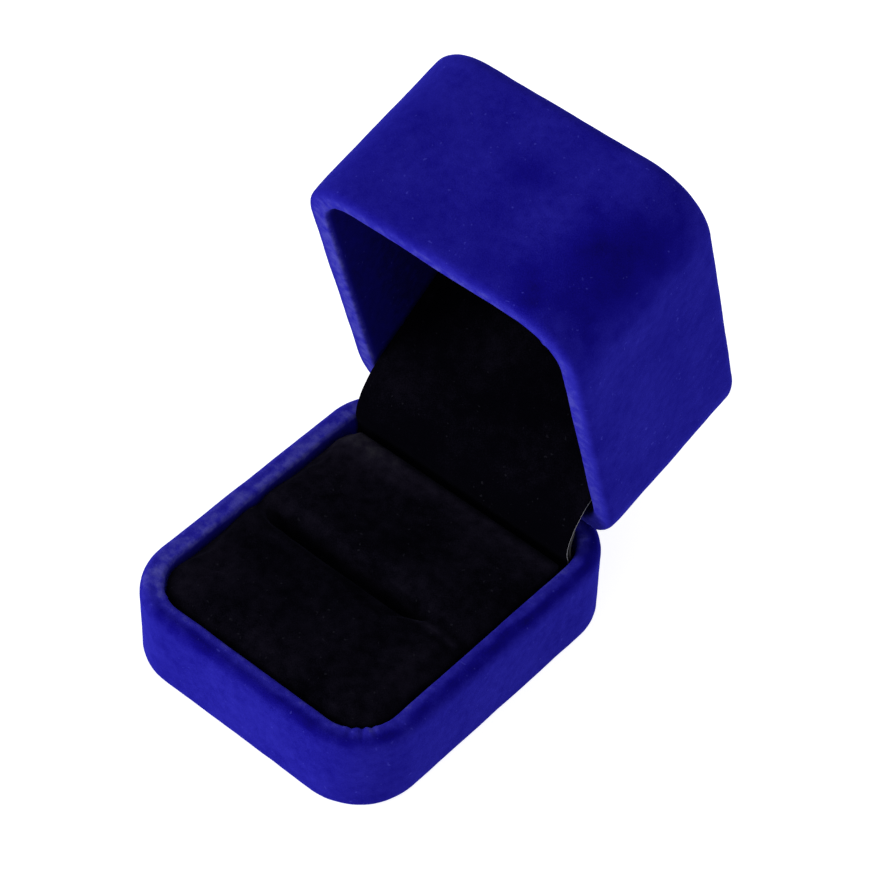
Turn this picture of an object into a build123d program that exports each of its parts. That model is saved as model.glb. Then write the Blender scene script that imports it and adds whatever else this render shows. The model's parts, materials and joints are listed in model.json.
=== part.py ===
from build123d import *

import math
import os

# Velvet ring box, standing open on a rear hinge.
# Origin: centre of the underside. +X is right, -Y is the front, +Z is up.
# Lid pieces are drawn where they lie with the box shut and are turned open about the hinge at the end.

# ---- Driving dimensions, mm -------------------------------------------------------------------

box_width = 52.0
box_depth = 60.4
base_height = 14.65  # underside to the base's rim
shut_height = 46.0  # underside to the top of the shut lid
rim_gap = 0.3  # between the two rims, shut
corner_radius = 10.8  # plan corners, outside
base_foot_radius = 1.2
base_rim_radius = 1.5
lid_rim_radius = 1.0
lid_top_radius = 2.5

velvet = 0.6  # pile and backing of the blue wrap
shell_wall = 2.4
base_floor = 1.6
lid_roof = 1.8
base_hem_depth = 8.0  # how far the wrap turns down inside the base
underside_hem = 6.0  # how far the wrap turns in under the base
foot_pad_rise = 0.2  # the underside pad stands this much below the wrap
slip = 0.2  # between a lining piece and the wall beside it

hinge_inset = 2.55  # axis to the outer rear face
hinge_rise = 1.04  # axis above the base's rim
opening_angle = 74.5
stop_clearance = 0.15  # each rear bevel to the plane where they would meet
pin_diameter = 1.5
pin_head_diameter = 2.4
pin_head_length = 0.4
running_clearance = 0.05  # radial, pin to knuckle and rivet to hole
knuckle_diameter = 3.0
knuckle_length = 4.0
knuckle_play = 0.3  # end play between neighbouring knuckles
barrel_clearance = 0.3  # knuckles to the groove in the rear walls
leaf_width = 24.0
leaf_length = 8.2
leaf_thickness = 0.5
leaf_set_back = 0.6  # leaf edge to the barrel
rivet_spacing = 16.0
rivet_diameter = 1.5
rivet_head_diameter = 2.8
rivet_head_height = 0.4
rivet_head_edge = 0.24
spring_wire = 0.4
spring_pitch = 0.36  # neighbouring coils touch
spring_clearance = 0.2
spring_leg = 5.0
spring_leg_radius = 0.18  # the legs are drawn a touch thinner than the coil

board = 1.0  # card under the ring pad and inside the lid's top
lining_velvet = 0.5  # black velvet on pad, card strip and lid lining
pad_top = 14.2
pad_clearance = 0.35  # rear face of the pad to the lid's panel that comes down behind it
pad_edge_radius = 1.2
slot_width = 4.3
slot_end = 3.5  # end of the slot to the side of the pad
slot_setback = -2.3  # slot centre from the centre of the box
slot_floor = 5.2

strip_card = 0.5  # card core of the hinge cover strip and of the lid's panel
strip_side_gap = 0.9  # each end of the strip to the lined side wall
strip_corner_gap = 0.4  # the strip to the lined plan corners
strip_radius = 7.2  # front of the hinge cover strip, round the hinge axis
strip_top_angle = 108.0  # round the hinge axis, from +Y towards +Z
strip_fold_angle = 200.0
panel_gap = 0.3  # strip to the panel that passes in front of it
panel_angle = 123.2  # open, round the hinge axis, where the panel's lower edge stands

# ---- Derived values ---------------------------------------------------------------------------

hinge_y = box_depth / 2 - hinge_inset
hinge_z = base_height + hinge_rise
hinge_axis = Axis((0, hinge_y, hinge_z), (1, 0, 0))
lid_bottom = base_height + rim_gap
wrap_bottom = foot_pad_rise
shell_bottom = wrap_bottom + velvet
floor_top = shell_bottom + base_floor
board_top = floor_top + board
roof_bottom = shut_height - velvet - lid_roof
ceiling_bottom = roof_bottom - board - lining_velvet
wall_face = velvet + shell_wall  # inset of the bare inner wall
lined_face = wall_face + velvet  # inset of the velvet-lined inner wall
leaf_back = box_depth / 2 - wall_face
leaf_front = leaf_back - leaf_thickness
knuckle_radius = knuckle_diameter / 2
barrel_length = leaf_width + 2 * (pin_head_length + barrel_clearance)
leaf_edge = knuckle_radius + leaf_set_back
outer_knuckle_x = (leaf_width - knuckle_length) / 2
inner_knuckle_x = outer_knuckle_x - knuckle_length - knuckle_play
spring_length = 2 * (inner_knuckle_x - knuckle_length / 2 - knuckle_play)
spring_radius = pin_diameter / 2 + spring_clearance + spring_wire / 2
strip_width = box_width - 2 * (lined_face + strip_side_gap)
strip_back_radius = strip_radius - lining_velvet - strip_card
panel_back_radius = strip_radius + panel_gap
panel_front_radius = panel_back_radius + strip_card + lining_velvet
pad_rear = min(hinge_y - panel_front_radius - pad_clearance, box_depth / 2 - corner_radius)
slot_length = box_width - 2 * (lined_face + slip + slot_end)
reach = box_depth  # long enough to pass right through the box

side = Plane.YZ  # sketches on it read (y, z)


def outline(inset, mode=Mode.ADD):
    """Plan of the box, moved inwards by inset, in the sketch that is open."""
    RectangleRounded(box_width - 2 * inset, box_depth - 2 * inset, corner_radius - inset, mode=mode)


def round_the_axis(radius, angle):
    """Point in the side plane at a radius and an angle round the hinge axis."""
    return (
        hinge_y + radius * math.cos(math.radians(angle)),
        hinge_z + radius * math.sin(math.radians(angle)),
    )


def base_bevel(clearance):
    """Wedge above the base's rear rim that the open lid turns down into."""
    slope = math.radians(opening_angle / 2)
    drop = clearance / math.cos(slope)
    with BuildSketch(side) as wedge:
        with BuildLine():
            Polyline(
                (hinge_y, hinge_z - drop),
                (hinge_y + reach, hinge_z - drop - reach * math.tan(slope)),
                (hinge_y + reach, hinge_z + reach),
                (hinge_y, hinge_z + reach),
                close=True,
            )
        make_face()
    extrude(wedge.sketch, amount=reach, both=True, mode=Mode.SUBTRACT)


def lid_bevel(clearance):
    """The same wedge under the shut lid's rear rim."""
    slope = math.radians(opening_angle / 2)
    rise = clearance / math.cos(slope)
    forward = 2 * hinge_inset
    with BuildSketch(side) as wedge:
        with BuildLine():
            Polyline(
                (hinge_y - forward, hinge_z + rise - forward * math.tan(slope)),
                (hinge_y + reach, hinge_z + rise + reach * math.tan(slope)),
                (hinge_y + reach, -reach),
                (hinge_y - forward, -reach),
                close=True,
            )
        make_face()
    extrude(wedge.sketch, amount=reach, both=True, mode=Mode.SUBTRACT)


def barrel_groove():
    """Room for the knuckles in a rear wall."""
    with BuildSketch(side) as groove:
        with Locations((hinge_y, hinge_z)):
            Circle(knuckle_radius + barrel_clearance)
    extrude(groove.sketch, amount=barrel_length / 2, both=True, mode=Mode.SUBTRACT)


def leaf_window(low, high):
    """Gap in a rear lining, so that the leaf lies on the bare wall."""
    with BuildSketch(side) as window:
        with Locations((leaf_back - velvet / 2, (low + high) / 2)):
            Rectangle(velvet * 2, high - low)
    extrude(window.sketch, amount=leaf_width / 2 + slip, both=True, mode=Mode.SUBTRACT)


def rivet_holes(height):
    """Holes for the two rivets of one leaf, through whatever stands at that height."""
    with BuildSketch(Plane.XZ.offset(-box_depth / 2)) as holes:
        with Locations((0, height)):
            with GridLocations(rivet_spacing, 1, 2, 1):
                Circle(rivet_diameter / 2 + running_clearance)
    extrude(holes.sketch, amount=wall_face + leaf_thickness + rivet_head_height, mode=Mode.SUBTRACT)


def rivet_pair(height):
    """Two round-head rivets, head on the leaf, shank to the outside of the shell."""
    with BuildSketch(Plane.XZ.offset(-leaf_front)) as shanks:
        with Locations((0, height)):
            with GridLocations(rivet_spacing, 1, 2, 1):
                Circle(rivet_diameter / 2)
    extrude(shanks.sketch, amount=-(leaf_thickness + shell_wall))
    with BuildSketch(Plane.XZ.offset(-leaf_front)) as heads:
        with Locations((0, height)):
            with GridLocations(rivet_spacing, 1, 2, 1):
                Circle(rivet_head_diameter / 2)
    extrude(heads.sketch, amount=rivet_head_height)
    head_rims = faces().sort_by(Axis.Y)[:2].edges()
    fillet(head_rims, rivet_head_edge)


def hinge_leaf(direction, knuckle_x, notch):
    """One stamped leaf: direction -1 hangs down into the base, +1 stands up into the lid."""
    near = hinge_z + direction * leaf_edge
    far = near + direction * leaf_length
    middle = (leaf_back + leaf_front) / 2
    with BuildSketch(side) as plate:
        with Locations((middle, (near + far) / 2)):
            Rectangle(leaf_thickness, leaf_length)
    extrude(plate.sketch, amount=leaf_width / 2, both=True)
    for x in (-knuckle_x, knuckle_x):
        with BuildSketch(side.offset(x)) as knuckle:
            with Locations((hinge_y, hinge_z)):
                Circle(knuckle_radius)
            with Locations((middle, (near + hinge_z) / 2)):
                Rectangle(leaf_thickness, leaf_edge)
        extrude(knuckle.sketch, amount=knuckle_length / 2, both=True)
    with BuildSketch(side) as bore:
        with Locations((hinge_y, hinge_z)):
            Circle(pin_diameter / 2 + running_clearance)
    extrude(bore.sketch, amount=leaf_width, both=True, mode=Mode.SUBTRACT)
    if notch:
        with BuildSketch(side) as opening:
            with Locations((middle, near + direction * spring_leg / 2)):
                Rectangle(leaf_thickness * 2, spring_leg)
        extrude(opening.sketch, amount=spring_length / 2 + knuckle_play, both=True, mode=Mode.SUBTRACT)


def strip_foot(radius):
    """Where a face of the hinge cover strip meets the board below it, as (y, z)."""
    return round_the_axis(strip_radius, strip_fold_angle)[0] + strip_radius - radius, board_top


def strip_layer(back_radius, front_radius):
    """One layer of the strip that hides the hinge: an arc round the axis on a straight foot."""
    arc = strip_fold_angle - strip_top_angle
    with BuildSketch(side) as profile:
        with BuildLine():
            front = CenterArc((hinge_y, hinge_z), front_radius, strip_top_angle, arc)
            back = CenterArc((hinge_y, hinge_z), back_radius, strip_top_angle, arc)
            Line(front @ 0, back @ 0)
            Polyline(front @ 1, strip_foot(front_radius), strip_foot(back_radius), back @ 1)
        make_face()
    extrude(profile.sketch, amount=strip_width / 2, both=True)
    strip_ends()


def panel_layer(back_radius, front_radius):
    """One layer of the lid's flat panel, tangent to the strip's circle, shut position."""
    turn = panel_angle + opening_angle
    lean = math.radians(turn - 90)
    top = ceiling_bottom - slip
    low_front = round_the_axis(front_radius, turn)
    low_back = round_the_axis(back_radius, turn)
    with BuildSketch(side) as profile:
        with BuildLine():
            Polyline(
                low_front,
                (low_front[0] + (top - low_front[1]) / math.tan(lean), top),
                (low_back[0] + (top - low_back[1]) / math.tan(lean), top),
                low_back,
                close=True,
            )
        make_face()
    extrude(profile.sketch, amount=strip_width / 2, both=True)
    strip_ends()


def strip_ends():
    """Trim a strip or panel to the plan of the lined box."""
    with BuildSketch() as plan:
        outline(lined_face + strip_corner_gap)
    extrude(plan.sketch, amount=shut_height, mode=Mode.INTERSECT)


def pad_block(inset, top, radius):
    """Ring pad's block, moved inwards by inset: it fills the base in front of the hinge strip."""
    with BuildSketch(Plane.XY.offset(board_top)) as plan:
        outline(lined_face + slip + inset)
        with Locations((0, pad_rear - inset + reach / 2)):
            Rectangle(reach, reach, mode=Mode.SUBTRACT)
    extrude(plan.sketch, amount=top - board_top)
    fillet(faces().sort_by(Axis.Z)[-1].edges(), radius)


def ring_slot(width, length, floor):
    """Slot across the pad that grips a ring's band."""
    with BuildSketch(Plane.XY.offset(floor)) as mouth:
        with Locations((0, slot_setback)):
            Rectangle(length, width)
    extrude(mouth.sketch, amount=shut_height, mode=Mode.SUBTRACT)


# ---- Base -------------------------------------------------------------------------------------

# Solid core of the base: what the wrap is glued to.
with BuildPart() as base_core:
    with BuildSketch(Plane.XY.offset(shell_bottom)):
        outline(velvet)
    extrude(amount=base_height - velvet - shell_bottom)
    fillet(faces().sort_by(Axis.Z)[-1].edges(), base_rim_radius - velvet)
    fillet(faces().sort_by(Axis.Z)[0].edges(), base_foot_radius - velvet)
    base_bevel(stop_clearance + velvet)

with BuildPart() as base_shell:
    add(base_core.part)
    with BuildSketch(Plane.XY.offset(floor_top)):
        outline(wall_face)
    extrude(amount=base_height, mode=Mode.SUBTRACT)
    barrel_groove()
    rivet_holes(hinge_z - leaf_edge - leaf_length / 2)

# Blue wrap: outside, over the rim, down the inside as a hem, and a little way under the base.
with BuildPart() as base_velvet:
    with BuildSketch(Plane.XY.offset(wrap_bottom)):
        outline(0)
    extrude(amount=base_height - wrap_bottom)
    fillet(faces().sort_by(Axis.Z)[-1].edges(), base_rim_radius)
    fillet(faces().sort_by(Axis.Z)[0].edges(), base_foot_radius)
    base_bevel(stop_clearance)
    add(base_core.part, mode=Mode.SUBTRACT)
    with BuildSketch(Plane.XY.offset(base_height - base_hem_depth)):
        outline(wall_face)
    extrude(amount=base_hem_depth)
    with BuildSketch(Plane.XY.offset(base_height - base_hem_depth)):
        outline(lined_face)
    extrude(amount=base_height, mode=Mode.SUBTRACT)
    with BuildSketch():
        outline(underside_hem)
    extrude(amount=shell_bottom, mode=Mode.SUBTRACT)
    barrel_groove()
    leaf_window(base_height - base_hem_depth, base_height)

with BuildPart() as base_bottom_pad:
    with BuildSketch():
        outline(underside_hem + slip)
    extrude(amount=shell_bottom)

with BuildPart() as pad_board:
    with BuildSketch(Plane.XY.offset(floor_top)):
        outline(wall_face + slip)
    extrude(amount=board)

# Foam block with a slot for a ring's band, and the black velvet over it.
with BuildPart() as ring_pad_foam:
    pad_block(lining_velvet, pad_top - lining_velvet, pad_edge_radius - lining_velvet)
    ring_slot(slot_width + 2 * lining_velvet, slot_length + 2 * lining_velvet, slot_floor - lining_velvet)

with BuildPart() as ring_pad_cover:
    pad_block(0, pad_top, pad_edge_radius)
    ring_slot(slot_width, slot_length, slot_floor)
    add(ring_pad_foam.part, mode=Mode.SUBTRACT)

with BuildPart() as hinge_strip_card:
    strip_layer(strip_back_radius, strip_back_radius + strip_card)

with BuildPart() as hinge_strip_velvet:
    strip_layer(strip_back_radius + strip_card, strip_radius)

# ---- Hinge ------------------------------------------------------------------------------------

with BuildPart() as hinge_base_leaf:
    hinge_leaf(-1, outer_knuckle_x, notch=False)
    rivet_holes(hinge_z - leaf_edge - leaf_length / 2)

with BuildPart() as hinge_base_rivets:
    rivet_pair(hinge_z - leaf_edge - leaf_length / 2)

with BuildPart() as hinge_pin:
    with BuildSketch(side):
        with Locations((hinge_y, hinge_z)):
            Circle(pin_diameter / 2)
    extrude(amount=leaf_width / 2, both=True)
    for x in (-leaf_width / 2 - pin_head_length, leaf_width / 2):
        with BuildSketch(side.offset(x)):
            with Locations((hinge_y, hinge_z)):
                Circle(pin_head_diameter / 2)
        extrude(amount=pin_head_length)

# Close-wound coil on the pin, one leg down on the base's leaf and one short leg up in the lid's notch.
with BuildPart() as hinge_spring:
    turns = int((spring_length - spring_wire) / spring_pitch) + 1
    with BuildSketch(Plane.XZ.offset(-hinge_y)):
        with Locations((0, hinge_z + spring_radius)):
            with GridLocations(spring_pitch, 1, turns, 1):
                Circle(spring_wire / 2)
    revolve(axis=hinge_axis)
    leg_x = (turns - 1) * spring_pitch / 2
    for x, direction, length in ((-leg_x, -1, spring_leg), (leg_x, 1, spring_leg / 2)):
        with BuildSketch(Plane.XY.offset(hinge_z)):
            with Locations((x, hinge_y - spring_radius)):
                Circle(spring_leg_radius)
        extrude(amount=direction * length)

with BuildPart() as hinge_lid_leaf:
    hinge_leaf(1, inner_knuckle_x, notch=True)
    rivet_holes(hinge_z + leaf_edge + leaf_length / 2)

with BuildPart() as hinge_lid_rivets:
    rivet_pair(hinge_z + leaf_edge + leaf_length / 2)

# ---- Lid, drawn shut --------------------------------------------------------------------------

# Solid core of the lid: what the wrap is glued to.
with BuildPart() as lid_core:
    with BuildSketch(Plane.XY.offset(lid_bottom + velvet)):
        outline(velvet)
    extrude(amount=shut_height - lid_bottom - 2 * velvet)
    fillet(faces().sort_by(Axis.Z)[-1].edges(), lid_top_radius - velvet)
    fillet(faces().sort_by(Axis.Z)[0].edges(), lid_rim_radius - velvet)
    lid_bevel(stop_clearance + velvet)

with BuildPart() as lid_shell:
    add(lid_core.part)
    with BuildSketch():
        outline(wall_face)
    extrude(amount=roof_bottom, mode=Mode.SUBTRACT)
    barrel_groove()
    rivet_holes(hinge_z + leaf_edge + leaf_length / 2)

# Blue wrap of the lid: outside, over the rim, and up the inner walls to the roof.
with BuildPart() as lid_velvet:
    with BuildSketch(Plane.XY.offset(lid_bottom)):
        outline(0)
    extrude(amount=shut_height - lid_bottom)
    fillet(faces().sort_by(Axis.Z)[-1].edges(), lid_top_radius)
    fillet(faces().sort_by(Axis.Z)[0].edges(), lid_rim_radius)
    lid_bevel(stop_clearance)
    add(lid_core.part, mode=Mode.SUBTRACT)
    with BuildSketch(Plane.XY.offset(lid_bottom)):
        outline(wall_face)
    extrude(amount=roof_bottom - lid_bottom)
    lid_bevel(stop_clearance)
    with BuildSketch():
        outline(lined_face)
    extrude(amount=roof_bottom, mode=Mode.SUBTRACT)
    barrel_groove()
    leaf_window(0, roof_bottom)

with BuildPart() as lid_ceiling_card:
    with BuildSketch(Plane.XY.offset(roof_bottom - board)):
        outline(lined_face + slip)
    extrude(amount=board)

with BuildPart() as lid_ceiling_velvet:
    with BuildSketch(Plane.XY.offset(ceiling_bottom)):
        outline(lined_face + slip)
    extrude(amount=lining_velvet)

with BuildPart() as lid_panel_card:
    panel_layer(panel_back_radius, panel_back_radius + strip_card)

with BuildPart() as lid_panel_velvet:
    panel_layer(panel_back_radius + strip_card, panel_front_radius)

# ---- Labels and files -------------------------------------------------------------------------

base_pieces = {
    "base_shell": base_shell,
    "base_velvet": base_velvet,
    "base_bottom_pad": base_bottom_pad,
    "pad_board": pad_board,
    "ring_pad_foam": ring_pad_foam,
    "ring_pad_cover": ring_pad_cover,
    "hinge_strip_card": hinge_strip_card,
    "hinge_strip_velvet": hinge_strip_velvet,
    "hinge_base_leaf": hinge_base_leaf,
    "hinge_base_rivets": hinge_base_rivets,
    "hinge_pin": hinge_pin,
    "hinge_spring": hinge_spring,
}
lid_pieces = {
    "lid_shell": lid_shell,
    "lid_velvet": lid_velvet,
    "lid_ceiling_card": lid_ceiling_card,
    "lid_ceiling_velvet": lid_ceiling_velvet,
    "lid_panel_card": lid_panel_card,
    "lid_panel_velvet": lid_panel_velvet,
    "hinge_lid_leaf": hinge_lid_leaf,
    "hinge_lid_rivets": hinge_lid_rivets,
}

for piece in lid_pieces.values():
    piece.part = piece.part.rotate(hinge_axis, -opening_angle)

os.makedirs("parts", exist_ok=True)
for name, piece in (base_pieces | lid_pieces).items():
    piece.part.label = name
    export_step(piece.part, f"parts/{name}.step")
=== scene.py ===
"""Velvet ring box standing open: looks, stage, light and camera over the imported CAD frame."""

import json
import logging
import math
from dataclasses import dataclass, field
from enum import Enum
from typing import Any, Sequence, Union

import bmesh
import bpy
import numpy as np
from mathutils import Matrix, Vector, noise

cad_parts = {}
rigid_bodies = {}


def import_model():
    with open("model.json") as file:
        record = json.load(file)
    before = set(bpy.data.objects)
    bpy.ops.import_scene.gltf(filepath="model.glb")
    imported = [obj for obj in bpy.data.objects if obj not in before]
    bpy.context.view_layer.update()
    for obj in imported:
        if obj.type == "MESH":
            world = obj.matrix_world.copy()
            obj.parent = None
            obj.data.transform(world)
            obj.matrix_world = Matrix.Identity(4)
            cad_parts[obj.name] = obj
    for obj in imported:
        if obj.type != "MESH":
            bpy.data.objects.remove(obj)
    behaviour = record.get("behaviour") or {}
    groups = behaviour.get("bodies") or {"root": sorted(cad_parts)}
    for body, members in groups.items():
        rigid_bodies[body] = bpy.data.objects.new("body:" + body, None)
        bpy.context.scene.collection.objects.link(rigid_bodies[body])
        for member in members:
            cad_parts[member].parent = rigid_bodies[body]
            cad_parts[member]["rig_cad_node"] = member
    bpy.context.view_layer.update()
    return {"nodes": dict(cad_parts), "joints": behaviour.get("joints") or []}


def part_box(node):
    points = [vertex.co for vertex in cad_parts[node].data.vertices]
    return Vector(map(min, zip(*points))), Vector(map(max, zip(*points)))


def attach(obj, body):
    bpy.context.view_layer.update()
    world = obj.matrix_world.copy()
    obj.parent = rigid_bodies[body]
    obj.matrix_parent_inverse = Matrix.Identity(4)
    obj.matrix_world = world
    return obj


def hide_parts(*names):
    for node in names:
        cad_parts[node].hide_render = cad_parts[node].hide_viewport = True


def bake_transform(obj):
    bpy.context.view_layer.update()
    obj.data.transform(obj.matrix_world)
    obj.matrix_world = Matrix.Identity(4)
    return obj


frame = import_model()

MM = 0.001  # the frame is in metres, and the sizes below are in millimetres
log = logging.getLogger("ring_box")
made_finishes: dict[str, bpy.types.Material] = {}  # by name, each made once


# ---- Shader maths -------------------------------------------------------------------------------


class Signal:
    """One output socket, with the arithmetic that is used on it."""

    def __init__(self, shader: "Shader", socket: bpy.types.NodeSocket) -> None:
        """Keeps the socket and the shader that it belongs to.

        Args:
            shader: the shader whose tree holds the socket.
            socket: the output socket.
        """
        self.shader = shader
        self.socket = socket

    def __add__(self, other: "Level") -> "Signal":
        """This plus other."""
        return self.shader.arithmetic("ADD", self, other)

    def __radd__(self, other: "Level") -> "Signal":
        """Other plus this."""
        return self.shader.arithmetic("ADD", other, self)

    def __sub__(self, other: "Level") -> "Signal":
        """This minus other."""
        return self.shader.arithmetic("SUBTRACT", self, other)

    def __rsub__(self, other: "Level") -> "Signal":
        """Other minus this."""
        return self.shader.arithmetic("SUBTRACT", other, self)

    def __mul__(self, other: "Level") -> "Signal":
        """This times other."""
        return self.shader.arithmetic("MULTIPLY", self, other)

    def __rmul__(self, other: "Level") -> "Signal":
        """Other times this."""
        return self.shader.arithmetic("MULTIPLY", other, self)

    def clamped(self) -> "Signal":
        """This held between 0 and 1."""
        return self.shader.node("ShaderNodeClamp", inputs={"Value": self})

    def ramp(self, low: float, high: float) -> "Signal":
        """A smooth rise from 0 to 1 as this goes from low to high.

        Args:
            low: where the rise starts.
            high: where it ends.

        Returns:
            The ramp's value.
        """
        return self.shader.node(
            "ShaderNodeMapRange",
            {"interpolation_type": "SMOOTHSTEP"},
            {"Value": self, "From Min": low, "From Max": high},
        )


Level = Union[float, Sequence[float], Signal]


class Shader:
    """A material's node tree, written as expressions."""

    def __init__(self, name: str) -> None:
        """Starts an empty material with a Principled surface.

        Args:
            name: the material's name.
        """
        self.material = bpy.data.materials.new(name)
        self.material.use_nodes = True
        self.tree = self.material.node_tree
        self.tree.nodes.clear()
        self.surface = self.tree.nodes.new("ShaderNodeBsdfPrincipled")
        output = self.tree.nodes.new("ShaderNodeOutputMaterial")
        self.tree.links.new(self.surface.outputs[0], output.inputs["Surface"])

    def feed(self, socket: bpy.types.NodeSocket, level: Level) -> None:
        """Links a signal to a socket, or sets the socket's own value.

        Args:
            socket: the input socket.
            level: the signal or value.
        """
        if isinstance(level, Signal):
            self.tree.links.new(level.socket, socket)
        elif socket.type == "RGBA":
            socket.default_value = (*level, 1.0)
        else:
            socket.default_value = level

    def node(
        self,
        kind: str,
        settings: dict[str, Any] | None = None,
        inputs: dict[str | int, Level] | None = None,
        output: str | int = 0,
    ) -> Signal:
        """Adds any node.

        Args:
            kind: the node's type.
            settings: the node's own settings, which are set first.
            inputs: values or signals for its sockets, by name or place.
            output: the output that is wanted.

        Returns:
            That output.
        """
        made = self.tree.nodes.new(kind)
        for name, value in (settings or {}).items():
            setattr(made, name, value)
        for name, level in (inputs or {}).items():
            self.feed(made.inputs[name], level)
        return Signal(self, made.outputs[output])

    def arithmetic(self, operation: str, *levels: Level) -> Signal:
        """Adds a Math node, or a Vector Math node if any level is a vector.

        Args:
            operation: the node's operation.
            *levels: values or signals, in order.

        Returns:
            The node's result.
        """
        vector = any(isinstance(x, Signal) and x.socket.type == "VECTOR" for x in levels)
        kind = "ShaderNodeVectorMath" if vector else "ShaderNodeMath"
        return self.node(kind, {"operation": operation}, dict(enumerate(levels)))

    def mix(self, amount: Level, low: Level, high: Level) -> Signal:
        """A colour between two others.

        Args:
            amount: 0 gives low and 1 gives high.
            low: the first colour.
            high: the second colour.

        Returns:
            The mixed colour.
        """
        return self.node("ShaderNodeMix", {"data_type": "RGBA"}, {0: amount, 6: low, 7: high}, 2)

    def place(self) -> Signal:
        """The point on the piece, in its own metres."""
        return self.node("ShaderNodeTexCoord", output="Object")

    def cloud(self, size: float, detail: float = 2.0, stretch: Sequence[float] = (1, 1, 1)) -> Signal:
        """Soft noise from 0 to 1.

        Args:
            size: the size of a blotch, in millimetres.
            detail: how many finer layers it has.
            stretch: how tightly it repeats along each axis.

        Returns:
            The noise's value.
        """
        where = self.place() * tuple(x / (size * MM) for x in stretch)
        return self.node("ShaderNodeTexNoise", inputs={"Vector": where, "Scale": 1.0, "Detail": detail})

    def bumps(self, height: Signal, depth: float) -> None:
        """Feeds the surface's normal from a height.

        Args:
            height: the height, from 0 to 1.
            depth: how high 1 stands, in millimetres.
        """
        bump = self.node("ShaderNodeBump", inputs={"Strength": 1.0, "Distance": depth * MM, "Height": height})
        self.set(Normal=bump)

    def set(self, **levels: Level) -> None:
        """Sets sockets of the Principled surface.

        Args:
            **levels: a value or signal for each socket, with _ for a space.
        """
        for name, level in levels.items():
            self.feed(self.surface.inputs[name.replace("_", " ")], level)


# ---- Finishes -----------------------------------------------------------------------------------


@dataclass(frozen=True)
class Velvet:
    """Short-pile velvet with soft lighter and darker patches in its pile, and painted highlights and painted
    shade that the mesh carries.
    """

    name: str
    # the painted shade colour, reached below 0
    painted_shade: tuple[float, float, float]
    deep: tuple[float, float, float]
    bright: tuple[float, float, float]
    glow: tuple[float, float, float]
    glow_weight: float
    # the painted sheen highlight colour, reached above 1
    crest: tuple[float, float, float]
    lint: tuple[float, float, float]
    glow_roughness: float = 0.35
    patch: float = 9.0  # the size of a soft patch
    mottle: float = 1.4  # the size of a mottle
    pile: float = 0.16  # the width of a tuft
    pile_depth: float = 0.09
    contrast: float = 1.0
    raggedness: float = 1.6  # how far the mottling breaks up the edges of the pile's patches and of the painted highlights and shade
    level: float = 0.45  # where an unstroked pile stands between deep and bright
    specks: float = 0.22  # how much lint shows

    def material(self) -> bpy.types.Material:
        """Makes the velvet, which reads the mesh's own pile tone with painted highlights and painted shade,
        from -3 to 2, where there is one.

        Returns:
            The material.
        """
        shader = Shader(self.name)
        pile_and_painted_light = shader.node("ShaderNodeAttribute", {"attribute_name": "pile_and_painted_light"}, output="Fac")
        patches = shader.cloud(self.patch, 3.0) - 0.5
        mottling = shader.cloud(self.mottle, 2.0) - 0.5
        grain = shader.cloud(self.pile, 1.0) - 0.5
        ragged = pile_and_painted_light * (1.0 + mottling * self.raggedness)
        amount = self.level + 0.5 * ragged + self.contrast * (patches * 0.75 + mottling * 0.8 + grain * 0.9)
        colour = shader.mix(amount.clamped(), self.deep, self.bright)
        # painted shade: below 0 the colour falls towards the darkest colour
        colour = shader.mix((0.0 - amount).clamped(), colour, self.painted_shade)
        # painted sheen highlight: above 1 the colour rises towards the crest colour
        colour = shader.mix((amount - 1.0).clamped(), colour, self.crest)
        flecks = shader.cloud(0.55, 0.0).ramp(0.77, 0.82) * shader.cloud(2.3, 0.0).ramp(0.5, 0.62)
        shader.set(Base_Color=shader.mix(flecks * self.specks, colour, self.lint))
        shader.set(Roughness=0.86 + 0.1 * grain)
        shader.set(Specular_IOR_Level=0.0, Sheen_Weight=self.glow_weight)
        shader.set(Sheen_Roughness=self.glow_roughness, Sheen_Tint=self.glow)
        shader.bumps(0.6 * grain + 0.9 * mottling + 0.5, self.pile_depth)
        return shader.material


@dataclass(frozen=True)
class Board:
    """Paper-faced or bare card with short fibres."""

    name: str
    colour: tuple[float, float, float]
    fleck: tuple[float, float, float]

    def material(self) -> bpy.types.Material:
        """Makes the card.

        Returns:
            The material.
        """
        shader = Shader(self.name)
        fibres = shader.cloud(0.5, 3.0, (1.0, 3.5, 1.0))
        blotches = shader.cloud(4.0, 2.0)
        specks = shader.cloud(0.3, 1.0).ramp(0.62, 0.7)
        tone = (fibres * 0.5 + blotches * 0.5 + 0.6 * specks - 0.25).clamped()
        shader.set(Base_Color=shader.mix(tone, self.colour, self.fleck))
        shader.set(Roughness=0.82 + 0.12 * fibres, Specular_IOR_Level=0.3)
        shader.bumps(fibres, 0.03)
        return shader.material


@dataclass(frozen=True)
class Moulding:
    """Black injection-moulded plastic with a fine etched surface."""

    name: str
    colour: tuple[float, float, float]

    def material(self) -> bpy.types.Material:
        """Makes the plastic.

        Returns:
            The material.
        """
        shader = Shader(self.name)
        etch = shader.cloud(0.12, 2.0)
        flow = shader.cloud(7.0, 2.0, (1.0, 1.0, 0.3))
        lighter = tuple(2.2 * x for x in self.colour)
        shader.set(Base_Color=shader.mix(flow, self.colour, lighter))
        shader.set(Roughness=0.42 + 0.2 * flow, Specular_IOR_Level=0.45)
        shader.bumps(etch, 0.01)
        return shader.material


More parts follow.
